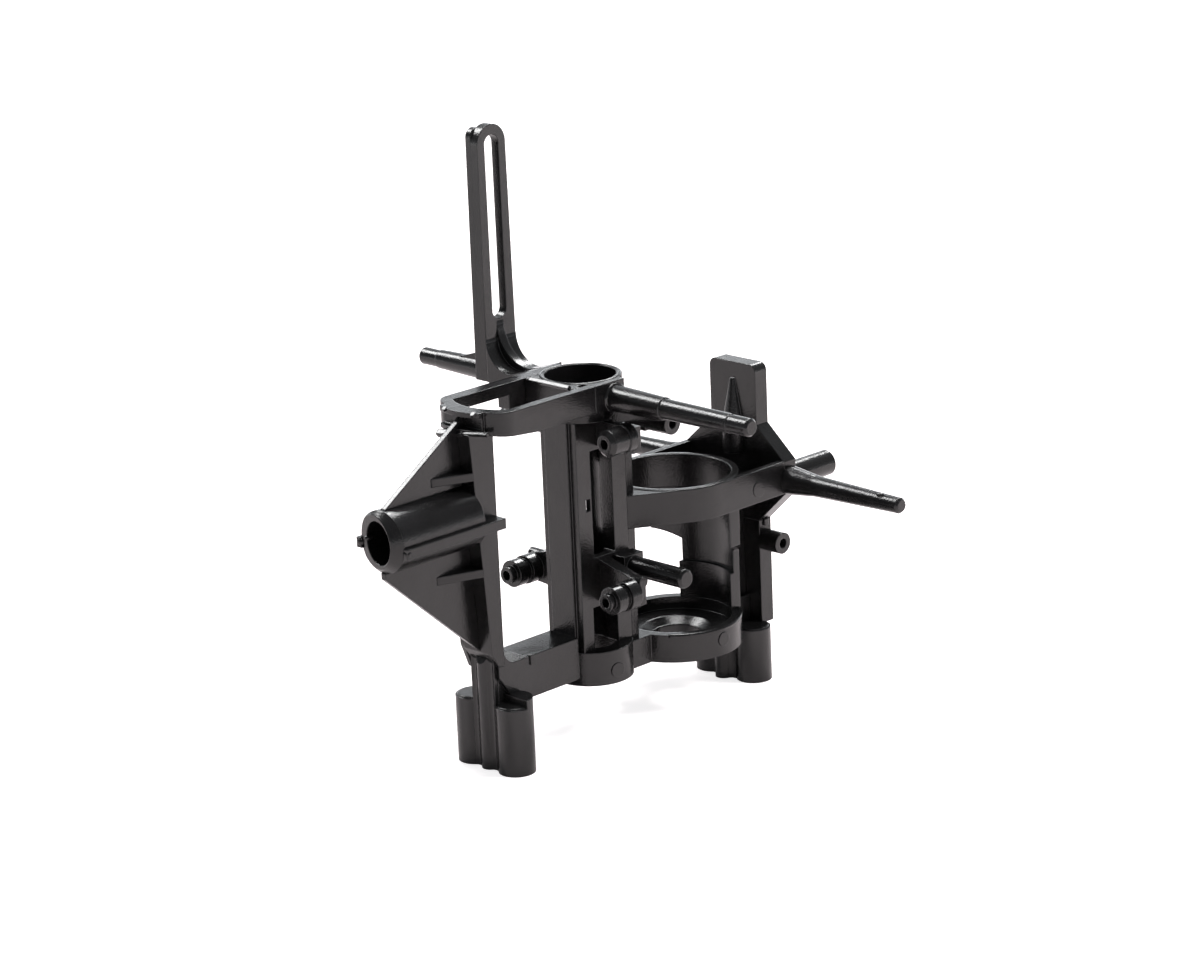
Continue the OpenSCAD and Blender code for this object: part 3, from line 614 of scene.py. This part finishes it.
def strip(name, start, end, width):
    """A thin square bar between two points, with one face towards the lamp."""
    along = Vector(end) - Vector(start)
    up = Vector(halfway_to_lamp)
    up = (up - up.project(along)).normalized()
    sideways = along.normalized().cross(up)
    lie = Matrix((sideways, along.normalized(), up)).transposed().to_4x4()
    lie.translation = (Vector(start) + Vector(end)) / 2
    shape = bmesh.new()
    bmesh.ops.create_cube(shape, size=1.0)
    bmesh.ops.scale(shape, vec=(width, along.length, width), verts=shape.verts)
    soften(shape, 0.03)
    bmesh.ops.transform(shape, matrix=lie, verts=shape.verts)
    return keep(name, shape)


chamfer_x, chamfer_z = -4.36, deck_top - 0.06
strips = (
    # name, start, end and width
    ("window_chamfer", (chamfer_x, 2.4, chamfer_z), (chamfer_x, -3.0, chamfer_z), 0.46),
    ("bay_lip_left", (-16.82, 2.1, -0.80), (-16.37, -0.91, -0.49), 0.58),
    ("bay_lip_right", (-16.37, -0.91, -0.46), (-15.93, -3.82, -0.16), 0.36),
)
for name, start, end, width in strips:
    strip(name, start, end, width)
print("bright strips:", len(strips))

# %% [markdown]
# Two CAD solids differ from the picture in shape, so copies of their meshes take
# their places. New meshes could be drawn, but a copy keeps everything that is
# already right. Each copy is scaled to millimetres, and its points are welded so
# that it can be cut cleanly.


# %% Helpers that copy and cut a CAD solid
def copy_in_mm(node):
    """A bmesh copy of a CAD node's mesh, in millimetres."""
    shape = bmesh.new()
    shape.from_mesh(nodes[node].data)
    bmesh.ops.scale(shape, vec=(1 / MM, 1 / MM, 1 / MM), verts=shape.verts)
    bmesh.ops.remove_doubles(shape, verts=shape.verts, dist=WELD)
    return shape


def cut(shape, point, direction, clear_outer=False):
    """Cuts a shape along a plane, and may clear what lies beyond it."""
    bmesh.ops.bisect_plane(
        shape, geom=shape.verts[:] + shape.edges[:] + shape.faces[:], dist=WELD,
        plane_co=point, plane_no=direction, clear_outer=clear_outer,
    )


def open_edges(shape):
    """The edges that have a face on one side only."""
    return [edge for edge in shape.edges if edge.is_boundary]


print("helpers ready: copy_in_mm, cut, open_edges")

# %% [markdown]
# Seen through its window, the deck's left rail is shallower than the right one,
# and the white table shows below it. A Boolean modifier could carve the rail.
# Three plane cuts do it more surely here: along the rail's new underside and at
# both of its ends. Then the faces of the unwanted block are deleted.

# %% Cut the deck's left rail
rail_low = 0.45
rail_from, rail_to = -13.6, -6.6
rail_inside = 3.0

deck = copy_in_mm("top_deck")
cut(deck, (0, 0, rail_low), (0, 0, 1))
cut(deck, (rail_from, 0, 0), (1, 0, 0))
cut(deck, (rail_to, 0, 0), (1, 0, 0))
unwanted = []
for face in deck.faces:
    spot = face.calc_center_median()
    if rail_from < spot.x < rail_to and spot.y > rail_inside and spot.z < rail_low:
        unwanted.append(face)
bmesh.ops.delete(deck, geom=unwanted, context="FACES")
print("deck faces cut away:", len(unwanted), "edges now open:", len(open_edges(deck)))

# %% [markdown]
# The cut left one long hole with three sides: the underside and the two ends. It
# could be filled in one go, but a face must be flat. So each end is closed
# first, with one new edge along its top, and the flat underside is filled last.

# %% Close the deck's left rail
near = 1e-3
for x in (rail_from, rail_to):
    rim = [e for e in open_edges(deck) if all(abs(v.co.x - x) < near for v in e.verts)]
    corners = {v for e in rim for v in e.verts}
    tops = [v for v in corners if abs(v.co.z - rail_low) < near]
    tops.sort(key=lambda v: v.co.y)
    top_edge = bmesh.ops.contextual_create(deck, geom=[tops[0], tops[-1]])["edges"]
    bmesh.ops.edgeloop_fill(deck, edges=rim + top_edge)
bmesh.ops.edgeloop_fill(deck, edges=open_edges(deck))
still_open = len(open_edges(deck))
deck_piece = keep("deck_shallow_rail", deck)
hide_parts("top_deck")
print("edges left open in the deck:", still_open)

# %% [markdown]
# The left lobe of the rear leg ends flat in the picture, without the riser that
# its right twin has. One cut at the lobe's top clears the riser away, and one
# flat face closes it.

# %% The left rear lobe without its riser
lobe_top = -27.75

lobe = copy_in_mm("rear_leg_left")
cut(lobe, (0, 0, lobe_top), (0, 0, 1), clear_outer=True)
bmesh.ops.holes_fill(lobe, edges=open_edges(lobe), sides=0)
lobe_open = len(open_edges(lobe))
lobe_piece = keep("rear_leg_left_flat", lobe)
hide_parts("rear_leg_left")
print("edges left open in the lobe:", lobe_open)

# %% [markdown]
# At the foot of the rear pillar, the rail's top was left rough by the mould and
# glitters. A bump texture could roughen it, but its glints would stay weak. A
# fine grid with small uneven heights glitters as the real land does. It is
# closed below, so that it is a thin solid.

# %% The rough land on the rail
land_x, land_y = (-13.4, -10.3), (-1.9, 1.9)
land_floor, land_base = -23.95, -23.84 - 0.04
land_rise, land_ripple = 0.06, 0.035
rim_slope = 8

land = bmesh.new()
bmesh.ops.create_grid(land, x_segments=44, y_segments=52, size=0.5)
for vert in land.verts:
    x = land_x[0] + (vert.co.x + 0.5) * (land_x[1] - land_x[0])
    y = land_y[0] + (vert.co.y + 0.5) * (land_y[1] - land_y[0])
    crossed_waves = math.sin(17.3 * x + 5.1 * y) * math.sin(13.7 * y - 7.9 * x)
    rough = crossed_waves + 0.6 * math.sin(41.0 * x * y + 3.0 * y)
    inside_rim = min(1.0, rim_slope * (0.5 - max(abs(vert.co.x), abs(vert.co.y))))
    vert.co = (x, y, land_base + inside_rim * (land_rise + land_ripple * rough))
bottom = bmesh.ops.extrude_face_region(land, geom=land.faces[:])
for item in bottom["geom"]:
    if isinstance(item, bmesh.types.BMVert):
        item.co.z = land_floor
keep("rough_land", land)
print("rough land is", round(land_x[1] - land_x[0], 2), "mm long")

# %% [markdown]
# Small leftovers finish the moulding: two bright facets above the deck's bay, a
# lump near the tip of the right nose post, a spot of flash on the rear leg, a
# step on the rail and a catch below the nose plate. Sculpting them would take
# long for a few pixels, so the pad, the block and one new helper, a smooth lump,
# stand for them.


# %% Facets, lumps and steps
def blob(name, centre, radius, squash=(1, 1, 1)):
    """A small smooth lump."""
    shape = bmesh.new()
    bmesh.ops.create_uvsphere(shape, u_segments=20, v_segments=12, radius=radius)
    bmesh.ops.scale(shape, vec=squash, verts=shape.verts)
    bmesh.ops.translate(shape, vec=centre, verts=shape.verts)
    for face in shape.faces:
        face.smooth = True
    return keep(name, shape)


leftovers = (
    pad("vent_spot_left", (-16.34, 1.52, 1.56), halfway_to_lamp, 0.27, 0.12),
    pad("vent_spot_right", (-16.15, -2.17, 1.58), halfway_to_lamp, 0.30, 0.12),
    blob("post_lump", (21.81, -18.9, -12.42), 0.30, (1, 1.6, 1)),
    blob("leg_spot", (-14.20, -1.55, -27.59), 0.16),
    small_block("rail_step", (-10.28, -2.12, -24.75), (-10.02, -1.6, -23.74)),
    small_block("slot_catch", (21.9, -3.32, -18.55), (22.5, -2.9, -17.85), 0.06),
)
print("small leftovers:", len(leftovers))

# %% [markdown]
# A knob ends each of the boom socket's two keys, and two small lumps inside the
# bore grip the tail boom. The tops of the four strut sockets are slightly
# crowned, so that each shows a bright edge.

# %% Socket knobs and crowns
socket_z, strut_y = -8.7, 2.8
grip_x, grip_y = -25.9, 2.12
knob_radius, crown_radius, crown_height, crown_edge = 0.42, 1.66, 0.16, 0.14
knob_back, knob_in = 0.30, 0.32
strut_tops = (("front_crown_", 20.2, -28.85), ("rear_crown_", -13.4, -27.75))

made = []
for tag, side in (("left", 1), ("right", -1)):
    key_low, key_high = (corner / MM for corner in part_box("boom_key_" + tag))
    tip_y = key_high.y if side > 0 else key_low.y
    tip_z = (key_low.z + key_high.z) / 2
    knob_place = (key_low.x + knob_back, tip_y - side * knob_in, tip_z)
    grip_place = (grip_x, side * grip_y, socket_z)
    made.append(blob("boom_knob_" + tag, knob_place, knob_radius))
    made.append(blob("boom_grip_" + tag, grip_place, knob_radius, (1.6, 0.8, 0.8)))
    for crown, x, z in strut_tops:
        name, top = crown + tag, (x, side * strut_y, z)
        made.append(pad(name, top, upright, crown_radius, crown_height, crown_edge))
print("knobs, grips and crowns:", len(made))
